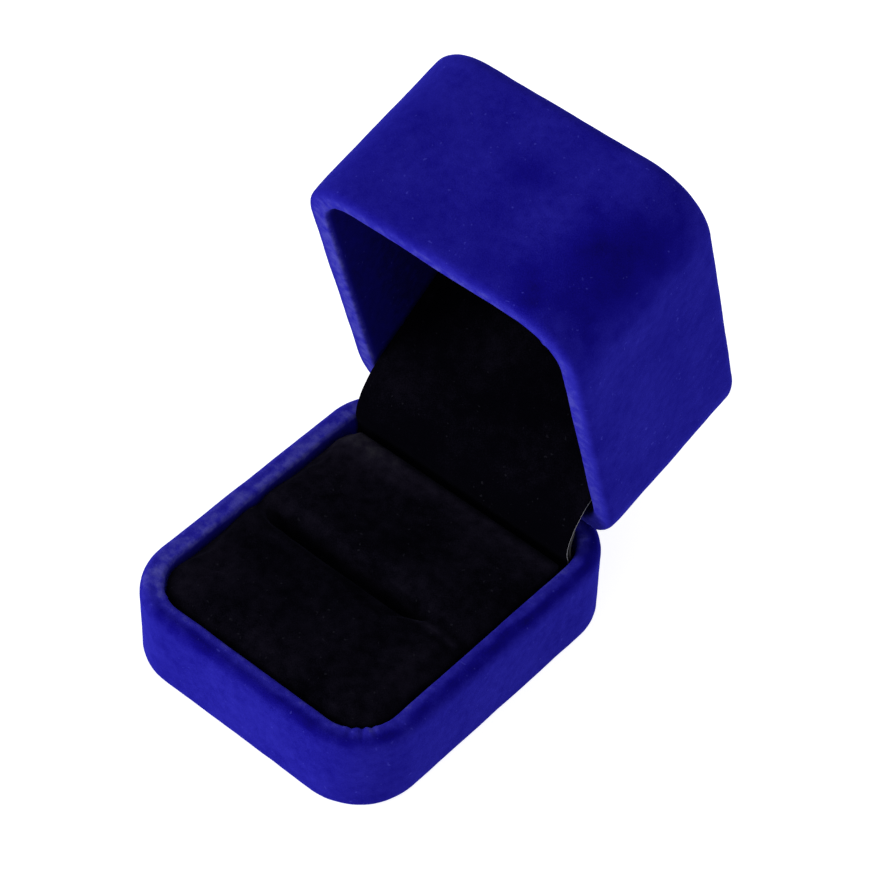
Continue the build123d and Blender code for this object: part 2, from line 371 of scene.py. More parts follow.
@dataclass(frozen=True)
class Steel:
    """Bright plated spring steel, brushed along the pin."""

    name: str
    colour: tuple[float, float, float]

    def material(self) -> bpy.types.Material:
        """Makes the steel.

        Returns:
            The material.
        """
        shader = Shader(self.name)
        brushing = shader.cloud(0.25, 3.0, (0.06, 1.0, 1.0))
        smudges = shader.cloud(3.0, 3.0)
        duller = tuple(0.72 * x for x in self.colour)
        shader.set(Base_Color=shader.mix(smudges, self.colour, duller))
        shader.set(Metallic=1.0, Roughness=0.2 + 0.16 * brushing + 0.1 * smudges)
        shader.bumps(brushing, 0.004)
        return shader.material


Finish = Union[Velvet, Board, Moulding, Steel]

# In both velvets, the darkest colour is painted shade and the crest colour a painted sheen highlight.
BLUE_VELVET = Velvet(
    name="royal_blue_velvet",
    painted_shade=(0.0022, 0.0013, 0.035),
    deep=(0.0042, 0.0026, 0.150),
    bright=(0.0158, 0.0135, 0.252),
    glow=(0.085, 0.09, 1.0),
    glow_weight=0.42,
    crest=(0.058, 0.057, 0.31),
    lint=(0.07, 0.07, 0.5),
)
BLACK_VELVET = Velvet(
    name="jet_black_velvet",
    painted_shade=(0.0006, 0.0005, 0.0010),
    deep=(0.0009, 0.0008, 0.0019),
    bright=(0.0090, 0.0076, 0.0145),
    glow=(0.5, 0.5, 0.9),
    glow_weight=0.012,
    crest=(0.024, 0.023, 0.029),
    lint=(0.03, 0.03, 0.04),
    patch=11.0,
    mottle=1.9,
    level=0.2,
    contrast=0.8,
    specks=0.18,
)
GREYBOARD = Board("greyboard", (0.50, 0.49, 0.47), (0.30, 0.29, 0.27))
BLACK_CARD = Board("black_card", (0.010, 0.010, 0.012), (0.022, 0.022, 0.025))
UNDERSIDE_CARD = Board("underside_card", (0.012, 0.012, 0.014), (0.035, 0.035, 0.04))
SHELL_PLASTIC = Moulding("shell_plastic", (0.010, 0.010, 0.012))
CLOTH_BACKING = Board("cloth_backing", (0.22, 0.22, 0.24), (0.38, 0.38, 0.40))
HINGE_STEEL = Steel("hinge_steel", (0.78, 0.77, 0.74))


# ---- Layout -------------------------------------------------------------------------------------


class Side(Enum):
    """Which half of the box a wrap covers."""

    BASE = "base"
    LID = "lid"

    @property
    def way(self) -> float:
        """Where this half of a shut box lies from the hinge: 1 is above and -1 is below."""
        return 1.0 if self is Side.LID else -1.0


def node_points(name: str) -> np.ndarray:
    """A CAD node's points at rest, in millimetres, one row each."""
    return read_points(frame["nodes"][name])


def node_box(name: str) -> tuple[np.ndarray, np.ndarray]:
    """A CAD node's lowest and highest corner at rest, in millimetres."""
    low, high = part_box(name)
    return np.array(low) / MM, np.array(high) / MM


@dataclass
class Hinge:
    """The lid's hinge, from the frame's joint."""

    y: float = 0.0
    z: float = 0.0
    angle: float = 0.0
    barrel: float = 0.0  # the knuckles' radius
    reach: float = 0.0  # half the pin's length
    shown_gap: float = 0.22  # how far the cloth's face stays off the barrel
    hidden_gap: float = 0.5  # how far its back does

    def __post_init__(self) -> None:
        """Reads the axis, the opening angle and the barrel's size."""
        joint = next(j for j in frame["joints"] if j["name"] == "lid_hinge")
        self.y, self.z = (v / MM for v in joint["pos_m"][1:])
        self.angle = math.radians(joint["range_deg"][1])
        leaf = node_points("hinge_base_leaf")
        self.reach = float(np.abs(node_points("hinge_pin")[:, 0]).max())
        self.barrel = float(leaf[:, 2].max()) - self.z

    def turned(self, points: np.ndarray, share: float) -> np.ndarray:
        """Points turned about the hinge.

        Args:
            points: one row each, in millimetres.
            share: 1 opens a shut lid, and -1 shuts an open one.

        Returns:
            The turned points.
        """
        turn = -self.angle * share
        out = np.array(points, float)
        dy, dz = out[:, 1] - self.y, out[:, 2] - self.z
        out[:, 1] = self.y + dy * math.cos(turn) - dz * math.sin(turn)
        out[:, 2] = self.z + dy * math.sin(turn) + dz * math.cos(turn)
        return out

    def clear_barrel(self, points: np.ndarray, shown: np.ndarray, side: Side) -> np.ndarray:
        """Pushes points up or down out of the barrel's groove.

        Args:
            points: one row each, in millimetres.
            shown: above 0 where a point is on the cloth's face.
            side: the half of the box that the points belong to.

        Returns:
            The moved points.
        """
        radius = self.barrel + np.where(shown > 0, self.shown_gap, self.hidden_gap)
        dy, dz = points[:, 1] - self.y, side.way * (points[:, 2] - self.z)
        arch = np.sqrt(np.maximum(radius**2 - dy**2, 0.0))
        inside = (dz < arch) & (arch > 0) & (np.abs(points[:, 0]) < self.reach + 0.3)
        out = points.copy()
        out[:, 2] = np.where(inside, self.z + side.way * arch, points[:, 2])
        return out


def shut_box(name: str, hinge: Hinge) -> tuple[np.ndarray, np.ndarray]:
    """A lid node's lowest and highest corner with the lid shut."""
    points = hinge.turned(node_points(name), -1.0)
    return points.min(0), points.max(0)


@dataclass
class Plan:
    """The box's rounded rectangle, seen from above."""

    half_x: float
    half_y: float
    corner: float
    step: float = 0.9
    corner_step: float = 0.36
    points: np.ndarray = field(init=False)
    outward: np.ndarray = field(init=False)

    def __post_init__(self) -> None:
        """Lays points round the outline, closer together at the corners."""
        spots, normals = [], []
        quarter = math.pi / 2
        for index, (sx, sy) in enumerate([(1, -1), (1, 1), (-1, 1), (-1, -1)]):
            centre = np.array([sx * (self.half_x - self.corner), sy * (self.half_y - self.corner)])
            start = quarter * (index - 1)
            turns = max(4, round(quarter * self.corner / self.corner_step))
            for i in range(turns + 1):
                angle = start + quarter * i / turns
                normal = np.array([math.cos(angle), math.sin(angle)])
                spots.append(centre + self.corner * normal)
                normals.append(normal)
            side = 2 * ((self.half_y if index % 2 == 0 else self.half_x) - self.corner)
            along = np.array([-normals[-1][1], normals[-1][0]])
            parts = max(2, round(side / self.step))
            for i in range(1, parts):
                spots.append(spots[-i] + along * side * i / parts)
                normals.append(normals[-1])
        self.points = np.array(spots)
        self.outward = np.array(normals)

    def depth_in(self, points: np.ndarray) -> np.ndarray:
        """How far each point lies inside the outline.

        Args:
            points: one row each, in millimetres.

        Returns:
            Each point's distance from the outline, below 0 outside it.
        """
        along = np.abs(points[:, 0]) - (self.half_x - self.corner)
        across = np.abs(points[:, 1]) - (self.half_y - self.corner)
        round_corner = np.hypot(np.maximum(along, 0.0), np.maximum(across, 0.0))
        return self.corner - np.maximum(round_corner, np.maximum(along, across))

    def ring(self, inset: float, z: float) -> np.ndarray:
        """The outline moved inwards, at a height.

        Args:
            inset: how far in, less than the corner's radius.
            z: the height.

        Returns:
            Its points, one row each.
        """
        flat = self.points - self.outward * inset
        return np.column_stack([flat, np.full(len(flat), z)])


Outline = list[tuple[float, float]]


def rounded(corners: Sequence[tuple[float, float, float]], step: float) -> Outline:
    """An open path with rounded corners.

    Args:
        corners: (inset, z, radius) of each corner.
        step: the longest gap between points.

    Returns:
        The path's points, as (inset, z).
    """
    path: list[np.ndarray] = [np.array(corners[0][:2])]
    spots = [np.array(c[:2]) for c in corners]

    def walk(target: np.ndarray) -> None:
        """Adds points in a straight line.

        Args:
            target: where the line ends.
        """
        start = path[-1]
        count = max(1, math.ceil(np.linalg.norm(target - start) / step))
        path.extend(start + (target - start) * i / count for i in range(1, count + 1))

    for before, here, after, (_, _, radius) in zip(spots, spots[1:], spots[2:], corners[1:-1]):
        a = (before - here) / np.linalg.norm(before - here)
        b = (after - here) / np.linalg.norm(after - here)
        if radius <= 0:
            walk(here)
            continue
        half = math.acos(float(np.clip(a @ b, -1, 1))) / 2
        cut = radius / math.tan(half)
        walk(here + a * cut)
        centre = here + (a + b) / np.linalg.norm(a + b) * radius / math.sin(half)
        first, last = here + a * cut - centre, here + b * cut - centre
        sweep = math.pi - 2 * half
        count = max(4, math.ceil(sweep * radius / (0.5 * step)))
        for i in range(1, count + 1):
            t = i / count
            weights = (math.sin((1 - t) * sweep) / math.sin(sweep), math.sin(t * sweep) / math.sin(sweep))
            path.append(centre + first * weights[0] + last * weights[1])
    walk(spots[-1])
    return [(float(p[0]), float(p[1])) for p in path]


def smooth_rise(values: np.ndarray, low: float, high: float) -> np.ndarray:
    """0 before low, 1 after high and smooth between them."""
    t = np.clip((values - low) / (high - low), 0.0, 1.0)
    return t * t * (3.0 - 2.0 * t)


def hump(values: np.ndarray, middle: float, width: float) -> np.ndarray:
    """A bell, 1 at the middle, that falls away over the width."""
    return np.exp(-(((values - middle) / width) ** 2))


def ripple(points: np.ndarray, size: float, seed: float) -> np.ndarray:
    """Soft noise from -1 to 1 at each point.

    Args:
        points: one row each, in millimetres.
        size: the size of a ripple.
        seed: a shift that makes one ripple unlike another.

    Returns:
        One value for each point.
    """
    shift = Vector((seed, 1.7 * seed, -2.3 * seed))
    return np.array([noise.noise(Vector(p) / size + shift) for p in points])


def loft(name: str, rings: Sequence[np.ndarray], looped: bool, capped: bool) -> bpy.types.Object:
    """A mesh through closed rings of the same length.

    Args:
        name: the piece's name.
        rings: the rings, one row for each point, in millimetres.
        looped: whether the last ring joins the first.
        capped: whether each end closes to its middle point.

    Returns:
        The new object, in metres.
    """
    shape = bmesh.new()
    rows = [[shape.verts.new(Vector(p) * MM) for p in ring] for ring in rings]
    pairs = list(zip(rows, rows[1:])) + ([(rows[-1], rows[0])] if looped else [])
    for low, high in pairs:
        for i in range(len(low)):
            j = (i + 1) % len(low)
            shape.faces.new((low[i], low[j], high[j], high[i]))
    if capped:
        for row in (rows[0], rows[-1]):
            middle = shape.verts.new(sum((v.co for v in row), Vector()) / len(row))
            for i in range(len(row)):
                shape.faces.new((row[i], row[(i + 1) % len(row)], middle))
    bmesh.ops.recalc_face_normals(shape, faces=shape.faces)
    return finished(name, shape)


def finished(name: str, shape: bmesh.types.BMesh) -> bpy.types.Object:
    """Turns a bmesh into a smooth-shaded object in the scene.

    Args:
        name: the piece's name.
        shape: the bmesh, which is freed.

    Returns:
        The new object.
    """
    mesh = bpy.data.meshes.new(name)
    shape.to_mesh(mesh)
    shape.free()
    mesh.shade_smooth()
    made = bpy.data.objects.new(name, mesh)
    bpy.context.scene.collection.objects.link(made)
    return made


def read_points(piece: bpy.types.Object) -> np.ndarray:
    """Reads a piece's points.

    Args:
        piece: the object.

    Returns:
        The points, one row each, in millimetres.
    """
    flat = np.empty(len(piece.data.vertices) * 3)
    piece.data.vertices.foreach_get("co", flat)
    return flat.reshape(-1, 3) / MM


def write_points(piece: bpy.types.Object, points: np.ndarray) -> None:
    """Moves a piece's points, given in millimetres."""
    piece.data.vertices.foreach_set("co", (points * MM).ravel())
    piece.data.update()


def read_normals(piece: bpy.types.Object) -> np.ndarray:
    """Reads the direction that each point of a piece faces.

    Args:
        piece: the object.

    Returns:
        The directions, one row each.
    """
    flat = np.empty(len(piece.data.vertices) * 3)
    piece.data.vertex_normals.foreach_get("vector", flat)
    return flat.reshape(-1, 3)


def lift(points: np.ndarray, normals: np.ndarray, heights: np.ndarray) -> None:
    """Moves each point out along its normal by its height, in place."""
    points += normals * heights[:, None]


def set_pile_and_painted_light(piece: bpy.types.Object, pile_and_painted_light: np.ndarray) -> None:
    """Stores the pile's tone with painted highlights and painted shade, from -3, the deepest painted shade,
    to 2, the brightest painted highlight, on each point.
    """
    layer = piece.data.attributes.new("pile_and_painted_light", "FLOAT", "POINT")
    layer.data.foreach_set("value", np.clip(pile_and_painted_light, -3.0, 2.0).astype(np.float32))


def dress(piece: bpy.types.Object, finish: Finish) -> None:
    """Gives a piece its finish.

    Args:
        piece: the object.
        finish: one of the finishes above.
    """
    if finish.name not in made_finishes:
        made_finishes[finish.name] = finish.material()
    piece.data.materials.clear()
    piece.data.materials.append(made_finishes[finish.name])


def add_subdivision(piece: bpy.types.Object, levels: int) -> None:
    """Smooths a piece with a subdivision surface.

    Args:
        piece: the object.
        levels: how many times its faces are split.
    """
    modifier = piece.modifiers.new("Smooth", "SUBSURF")
    modifier.levels = levels
    modifier.render_levels = levels


# ---- The blue wraps -----------------------------------------------------------------------------


@dataclass(frozen=True)
class BrushMark:
    """A place where the pile has been stroked the other way."""

    middle: tuple[float, float, float]
    reach: tuple[float, float, float]
    strength: float

    def on(self, points: np.ndarray, wobble: np.ndarray) -> np.ndarray:
        """How much the mark changes the lay at each point."""
        gap = (points - np.array(self.middle)) / np.array(self.reach)
        return self.strength * np.exp(-((gap**2).sum(1) * wobble))


@dataclass(frozen=True)
class Pleat:
    """A small fold where the velvet is gathered round a corner of the rim."""

    angle: float  # round the plan's corner, in degrees from the x side
    side: tuple[int, int]  # the corner's signs along x and y
    height: float  # below 0 it is a crease
    width: float  # in degrees
    lean: float = 0.0  # how far it slants as it goes outwards, in degrees for each millimetre
    reach: float = 2.2  # how far it runs out from the inner edge


@dataclass(frozen=True)
class Ruffle:
    """A gentle unevenness of the cloth's face."""

    height: float
    size: float
    seed: float


@dataclass
class Wrap:
    """Blue velvet glued over one half of the box."""

    side: Side
    hinge: Hinge
    pleats: Sequence[Pleat]
    skin: float = 0.6
    wall: float = 3.6
    corner: float = 10.8
    outer_skin: float = 1.5  # points less deep than this are on the outside wall
    rear_gap: float = 0.15  # how far the rear rim stays from the plane where the halves meet
    leaf_gap: float = 0.3  # the room left round the hinge leaf
    pleat_light_and_shade: float = 2.2  # how much painted highlight a pleat gets for each millimetre that it stands up, and painted shade where it is a crease
    ruffles: Sequence[Ruffle] = ()
    piece: bpy.types.Object | None = None

    def bevel(self, y: np.ndarray) -> np.ndarray:
        """How far the rear rim is cut back from the hinge's height, at each y."""
        slope = self.hinge.angle / 2
        return self.rear_gap / math.cos(slope) + np.maximum(y - self.hinge.y, 0.0) * math.tan(slope)

    def gathering(self, points: np.ndarray, plan: Plan) -> np.ndarray:
        """The height of the pleats at each point.

        Args:
            points: one row each, in millimetres.
            plan: the outline whose corners are pleated.

        Returns:
            The rise of each point, in millimetres.
        """
        rise = np.zeros(len(points))
        for pleat in self.pleats:
            along = points[:, 0] * pleat.side[0] - (plan.half_x - plan.corner)
            across = points[:, 1] * pleat.side[1] - (plan.half_y - plan.corner)
            angle = np.degrees(np.arctan2(across, along))
            outwards = np.hypot(along, across) - (plan.corner - self.wall)
            middle = pleat.angle + pleat.lean * outwards
            fade = 1.0 - smooth_rise(outwards, 0.5 * pleat.reach, pleat.reach)
            rise += pleat.height * hump(angle, middle, pleat.width) * fade * (outwards > -0.5)
        return rise

    def ruffle(self, points: np.ndarray, normals: np.ndarray, shown: np.ndarray) -> None:
        """Makes the cloth's face a little uneven, in place.

        Args:
            points: one row each, in millimetres.
            normals: the way that each point faces.
            shown: above 0 where a point is on the cloth's face.
        """
        for ruffle in self.ruffles:
            lift(points, normals, ruffle.height * ripple(points, ruffle.size, ruffle.seed) * shown)

    def window(self, points: np.ndarray, shown: np.ndarray) -> None:
        """Sets the inner cloth back behind the hinge leaf, so that the leaf lies on the shell.

        Args:
            points: one row each, in millimetres, with the lid shut.
            shown: above 0 where a point is on the cloth's face.
        """
        leaf = node_points(f"hinge_{self.side.value}_leaf")
        if self.side is Side.LID:
            leaf = self.hinge.turned(leaf, -1.0)
        from_hinge = self.side.way * (points[:, 2] - self.hinge.z)
        leaf_end = (self.side.way * (leaf[:, 2] - self.hinge.z)).max()
        near = (np.abs(points[:, 0]) < leaf[:, 0].max() + self.leaf_gap) & (shown > 0)
        near &= (from_hinge > self.hinge.barrel + self.leaf_gap) & (from_hinge < leaf_end + self.leaf_gap)
        near &= (points[:, 1] > self.hinge.y - 2.0) & (points[:, 1] < leaf[:, 1].max())
        points[:, 1] = np.where(near, np.maximum(points[:, 1], self.hinge.y - 0.4), points[:, 1])

    def dress(self) -> None:
        """Gives the wrap its finish and its place in the model."""
        dress(self.piece, BLUE_VELVET)
        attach(self.piece, self.side.value)
        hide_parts(f"{self.side.value}_velvet")


@dataclass
class BaseWrap(Wrap):
    """The velvet round the base, over the rim, down inside and in under the floor."""

    rim_radius: float = 1.5
    lip_radius: float = 0.55
    foot_radius: float = 0.75
    bulge: float = 0.16
    hem: float = 8.0  # how far the cloth goes down inside
    underside: float = 6.0  # how far it goes in under the floor
    rear_cut: float = 9.0  # how much of the rear wall is squeezed down to clear the lid
    ruffles: Sequence[Ruffle] = (Ruffle(0.07, 7.0, 1.0), Ruffle(0.035, 1.8, 2.0))
    strip_highlight: float = 0.95  # how strong the painted sheen highlight is on the rim's inner half
    left_rim_highlight: float = 1.3  # how strong the painted sheen highlight is across the left rim
    hem_shade: float = -1.2  # how dark the painted shade is where the cloth turns down inside

    def section(self, top: float, bottom: float) -> tuple[Outline, Outline]:
        """The wrap's section, as (inset, z).

        Args:
            top: the rim's height.
            bottom: the underside's height.

        Returns:
            The cloth's face, and its back after it.
        """
        face = [
            (self.underside, bottom, 0.0),
            (0.0, bottom, self.foot_radius),
            (0.0, top, self.rim_radius),
            (self.wall, top, self.lip_radius),
            (self.wall, top - self.hem, 0.0),
        ]
        back = [
            (self.wall, top - self.hem, 0.0),
            (self.wall - self.skin, top - self.hem, 0.0),
            (self.wall - self.skin, top - self.skin, 0.0),
            (self.skin, top - self.skin, self.rim_radius - self.skin),
            (self.skin, bottom + self.skin, self.foot_radius - self.skin),
            (self.underside, bottom + self.skin, 0.0),
        ]
        return rounded(face, 0.55), rounded(back, 1.2)[1:]

    def build(self) -> None:
        """Sweeps the wrap's section round the plan, then shapes its face and cuts back the rear."""
        low, high = node_box("base_velvet")
        plan = Plan(high[0], high[1], self.corner)
        top, bottom = high[2], low[2]
        face, back = self.section(top, bottom)
        self.piece = loft("base_wrap", [plan.ring(*p) for p in face + back], True, False)
        points = read_points(self.piece)
        normals = read_normals(self.piece)
        place = np.repeat(np.arange(len(face + back)), len(plan.points))
        edges = np.minimum(place, len(face) - 1 - place).astype(float)
        shown = (place < len(face)) * smooth_rise(edges, 0.0, 4.0)
        gathers = self.gathering(points, plan) * smooth_rise(points[:, 2], top - 2.0, top - 0.3) * shown
        self.paint_pile_and_light(points, plan, top, gathers)
        lift(points, normals, gathers)
        wall = plan.depth_in(points) < self.outer_skin
        lift(points, normals, self.bulge * shown * wall * smooth_rise(top - points[:, 2], 0.0, 2.0))
        self.ruffle(points, normals, shown)
        points[:, 2] = np.clip(points[:, 2], bottom - 0.1, top + 0.2)
        self.cut_rear(points, top)
        points = self.hinge.clear_barrel(points, shown, self.side)
        self.window(points, shown)
        write_points(self.piece, points)

    def cut_rear(self, points: np.ndarray, top: float) -> None:
        """Squeezes the rear wall down under the open lid, in place.

        Args:
            points: one row each, in millimetres.
            top: the rim's height.
        """
        ceiling = np.minimum(top, self.hinge.z - self.bevel(points[:, 1]))
        start = top - self.rear_cut
        squeeze = np.where(points[:, 1] > self.hinge.y, (ceiling - start) / self.rear_cut, 1.0)
        points[:, 2] = np.where(points[:, 2] > start, start + (points[:, 2] - start) * squeeze, points[:, 2])

    def paint_pile_and_light(self, points: np.ndarray, plan: Plan, top: float, gathers: np.ndarray) -> None:
        """Stores the pile's tone with painted light: a painted sheen highlight along the rim's inner half and
        across the left rim, painted shade over its outer edge and where it turns down inside.

        Args:
            points: one row each, in millimetres.
            plan: the box's outline.
            top: the rim's height.
            gathers: the height of the pleats.
        """
        ragged = 0.35 * ripple(points, 1.6, 6.0) + 0.55 * ripple(points, 4.0, 7.0)
        depth = plan.depth_in(points)
        inset = depth + 0.9 * ragged
        drop = top - points[:, 2] + 0.6 * ragged
        left = smooth_rise(-points[:, 0], plan.half_x - 10.0, plan.half_x - 4.0)
        right = smooth_rise(points[:, 0], plan.half_x - 6.0, plan.half_x - 2.0)
        on_top = (1.0 - smooth_rise(drop, 0.3, 1.1)) * (depth < self.wall + 0.1)
        # painted sheen highlight along the rim's inner half
        inner_highlight = smooth_rise(inset, 1.7, 2.7) * on_top
        outer = 0.35 * (1.0 - right)  # the painted shade band reaches further out everywhere but on the right
        # painted shade over the rim's outer edge, in patches
        outer_edge_shade = (1.0 - smooth_rise(inset, 1.3, 2.4)) * smooth_rise(inset, -0.5 - outer, 0.9 - outer) * on_top
        patchy = np.clip(0.75 + 0.35 * right + 0.9 * ripple(points, 2.6, 9.0), 0.0, 1.5)
        # painted shade where the cloth turns down inside the rim
        turned_in = (depth > self.wall - 0.3) & (points[:, 2] > top - self.hem - 1.0)
        hem = turned_in * smooth_rise(drop, 0.7, 1.5)
        pile_and_painted_light = (self.strip_highlight + 0.25 * (1.0 - right)) * inner_highlight - patchy * outer_edge_shade * (1.0 - 0.9 * left)
        # painted sheen highlight across the left rim, and painted shade on the turned-in hem, lighter on the
        # left
        pile_and_painted_light += self.left_rim_highlight * left * on_top * (depth > 0.2) + (self.hem_shade + 0.6 * left) * hem
        # painted highlight on raised pleats and painted shade in creases
        pile_and_painted_light += 0.3 * ripple(points, 8.0, 8.0) + self.pleat_light_and_shade * gathers
        set_pile_and_painted_light(self.piece, pile_and_painted_light)


@dataclass
class LidWrap(Wrap):
    """The velvet over the lid and down its inner walls."""

    marks: Sequence[BrushMark] = ()
    rim_radius: float = 1.0
    lip_radius: float = 0.5
    top_radius: float = 2.2
    fluff: float = 0.12
    rear_cut: float = 10.0  # how much of the rear wall is squeezed up to clear the base
    ruffles: Sequence[Ruffle] = (Ruffle(0.09, 8.0, 11.0), Ruffle(0.035, 1.9, 12.0))
    lining_shade_reach: float = 24.0  # how far up from the rim the painted shade of the lining reaches
    rim_highlight: float = 1.65  # how strong the painted sheen highlight is along the rim
    wall_lay: float = -0.25  # how it lies everywhere
    lining_shade: float = -2.0  # how dark the painted shade is inside

    def section(self, top: float, bottom: float, lining_top: float) -> tuple[Outline, Outline]:
        """The wrap's section with the lid shut, as (inset, z).

        Args:
            top: the lid's height.
            bottom: the rim's height.
            lining_top: where the cloth ends inside.

        Returns:
            The cloth's face, and its back after it.
        """
        inner = self.corner - 1.5
        face = [
            (inner, top, 0.0),
            (0.0, top, self.top_radius),
            (0.0, bottom, self.rim_radius),
            (self.wall, bottom, self.lip_radius),
            (self.wall, lining_top, 0.0),
        ]
        back = [
            (self.wall, lining_top, 0.0),
            (self.wall - self.skin, lining_top, 0.0),
            (self.wall - self.skin, bottom + self.skin, 0.0),
            (self.skin, bottom + self.skin, 0.0),
            (self.skin, top - self.skin, self.top_radius - self.skin),
            (inner, top - self.skin, 0.0),
        ]
        return rounded(face, 0.7), rounded(back, 1.6)[1:]

    def build(self) -> None:
        """Sweeps the wrap's section with the lid shut, shapes its face, then opens it."""
        low, high = shut_box("lid_velvet", self.hinge)
        lining_top = shut_box("lid_ceiling_card", self.hinge)[1][2]
        plan = Plan(high[0], high[1], self.corner)
        top, bottom = high[2], low[2]
        face, back = self.section(top, bottom, lining_top)
        disc = [plan.ring(*face[0]) * (s, s, 1.0) for s in np.linspace(0.03, 1.0, 20)[:-1]]
        under = [ring - np.array([0.0, 0.0, self.skin]) for ring in reversed(disc)]
        rings = disc + [plan.ring(*p) for p in face + back] + under
        self.piece = loft("lid_wrap", rings, False, True)
        points = read_points(self.piece)
        normals = read_normals(self.piece)
        shown = np.zeros(len(points))
        shown[: (len(disc) + len(face)) * len(plan.points)] = 1.0
        shown[-2] = 1.0  # the middle point of the top
        gathers = self.gathering(points, plan) * (1.0 - smooth_rise(points[:, 2], bottom + 0.4, bottom + 2.4))
        self.paint_pile_and_light(points, plan, bottom, gathers)
        wall = shown * (plan.depth_in(points) < self.outer_skin)
        outside = wall * smooth_rise(points[:, 2], bottom + 0.5, bottom + 2.5)
        lift(points, normals, gathers * shown + self.fluff * outside)
        self.ruffle(points, normals, shown)
        points[:, 2] = np.maximum(points[:, 2], bottom - 0.1)
        self.cut_rear(points, bottom)
        points = self.hinge.clear_barrel(points, shown, self.side)
        self.window(points, shown)
        write_points(self.piece, self.hinge.turned(points, 1.0))

    def cut_rear(self, points: np.ndarray, bottom: float) -> None:
        """Squeezes the rear wall up over the base, in place.

        Args:
            points: one row each, in millimetres, with the lid shut.
            bottom: the rim's height.
        """
        cut = np.maximum(0.0, self.hinge.z + self.bevel(points[:, 1]) - bottom)
        cut *= smooth_rise(points[:, 1], self.hinge.y - 0.8, self.hinge.y)
        end = bottom + self.rear_cut
        squeeze = (self.rear_cut - cut) / self.rear_cut
        points[:, 2] = np.where(points[:, 2] < end, end - (end - points[:, 2]) * squeeze, points[:, 2])

    def paint_pile_and_light(self, points: np.ndarray, plan: Plan, bottom: float, gathers: np.ndarray) -> None:
        """Stores the pile's tone with painted light: a painted sheen highlight along the rim, painted shade
        down the lining, painted highlight and shade on the pleats, and soft stroked patches.

        Args:
            points: one row each, in millimetres, with the lid shut.
            plan: the box's outline.
            bottom: the rim's height.
            gathers: the height of the pleats.
        """
        depth = plan.depth_in(points)
        height = points[:, 2] - bottom
        # painted sheen highlight along the rim, stronger on the left
        rim = hump(height + 0.15 * ripple(points, 2.0, 17.0), 0.0, 0.7) * smooth_rise(depth, -0.2, 2.3)
        left = smooth_rise(-points[:, 0], plan.half_x - 6.0, plan.half_x - 2.0)
        # painted shade down the inner walls, deeper further from the rim
        inside = (depth > self.wall - 0.3) & (height < self.lining_shade_reach)
        lining = inside * smooth_rise(height, 0.4, 1.6) * (0.85 + 0.5 * smooth_rise(height, 2.0, 15.0))
        pile_and_painted_light = (self.rim_highlight + 0.9 * left) * rim + self.wall_lay + self.lining_shade * lining
        # painted highlight on raised pleats and painted shade in creases
        pile_and_painted_light += 0.25 * ripple(points, 9.0, 18.0) + self.pleat_light_and_shade * gathers
        wobble = 1.0 + 0.9 * ripple(points, 5.0, 4.1) + 0.6 * ripple(points, 1.8, 5.3)
        for mark in self.marks:
            pile_and_painted_light += mark.on(points, np.maximum(wobble, 0.35))
        set_pile_and_painted_light(self.piece, pile_and_painted_light)


FRONT_RIGHT, FRONT_LEFT = (1, -1), (-1, -1)
REAR_RIGHT, REAR_LEFT = (1, 1), (-1, 1)
BASE_PLEATS = (
    Pleat(45.0, FRONT_RIGHT, -0.17, 1.5, 0.5, 3.2),
    Pleat(50.5, FRONT_RIGHT, 0.15, 2.4, 1.8, 2.6),
    Pleat(40.0, FRONT_RIGHT, 0.16, 2.4, -1.8, 3.0),
    Pleat(34.5, FRONT_RIGHT, -0.1, 1.6, -1.2, 2.4),
    Pleat(29.0, FRONT_RIGHT, 0.09, 2.4, -1.0),
    Pleat(57.0, FRONT_RIGHT, -0.1, 1.6, 1.4, 2.4),
    Pleat(63.0, FRONT_RIGHT, 0.09, 2.6, 1.0),
    Pleat(37.0, FRONT_LEFT, 0.14, 3.0, 1.0, 2.8),
    Pleat(66.0, FRONT_LEFT, 0.13, 3.0, -1.0, 2.8),
    Pleat(52.0, FRONT_LEFT, -0.08, 3.0),
    Pleat(44.0, REAR_RIGHT, 0.14, 3.0, 0.8, 2.8),
    Pleat(58.0, REAR_RIGHT, -0.1, 2.4),
    Pleat(50.0, REAR_LEFT, 0.14, 3.0, 0.8, 2.8),
)
LID_PLEATS = (
    Pleat(48.0, FRONT_RIGHT, 0.14, 3.0, 1.0),
    Pleat(36.0, FRONT_LEFT, 0.12, 3.0, -1.0),
    Pleat(56.0, FRONT_LEFT, -0.1, 2.5),
    Pleat(45.0, REAR_RIGHT, 0.12, 3.0),
    Pleat(45.0, REAR_LEFT, 0.12, 3.0),
)
LID_MARKS = (
    BrushMark((21.5, -28.5, 30.0), (5.5, 9.0, 11.0), -0.8),
    BrushMark((16.5, -30.0, 25.0), (4.5, 8.0, 8.0), -0.35),
    BrushMark((23.5, -26.0, 37.5), (4.0, 6.0, 6.0), -0.5),
    BrushMark((15.0, -30.0, 18.8), (6.0, 8.0, 3.6), -0.55),
    BrushMark((4.0, -30.0, 34.5), (7.0, 8.0, 2.6), -0.45),
    BrushMark((3.0, -30.0, 27.0), (2.6, 8.0, 6.0), -0.25),
    BrushMark((9.5, -30.0, 29.0), (3.5, 8.0, 7.0), 0.25),
    BrushMark((0.0, -30.0, 19.0), (14.0, 8.0, 3.0), -0.2),
    BrushMark((26.0, -15.0, 24.0), (8.0, 4.0, 9.0), 0.3),
    BrushMark((26.0, 3.0, 20.0), (8.0, 9.0, 3.5), 0.25),
    BrushMark((26.0, -4.0, 35.0), (8.0, 6.0, 5.0), -0.3),
)


# ---- The ring pad -------------------------------------------------------------------------------


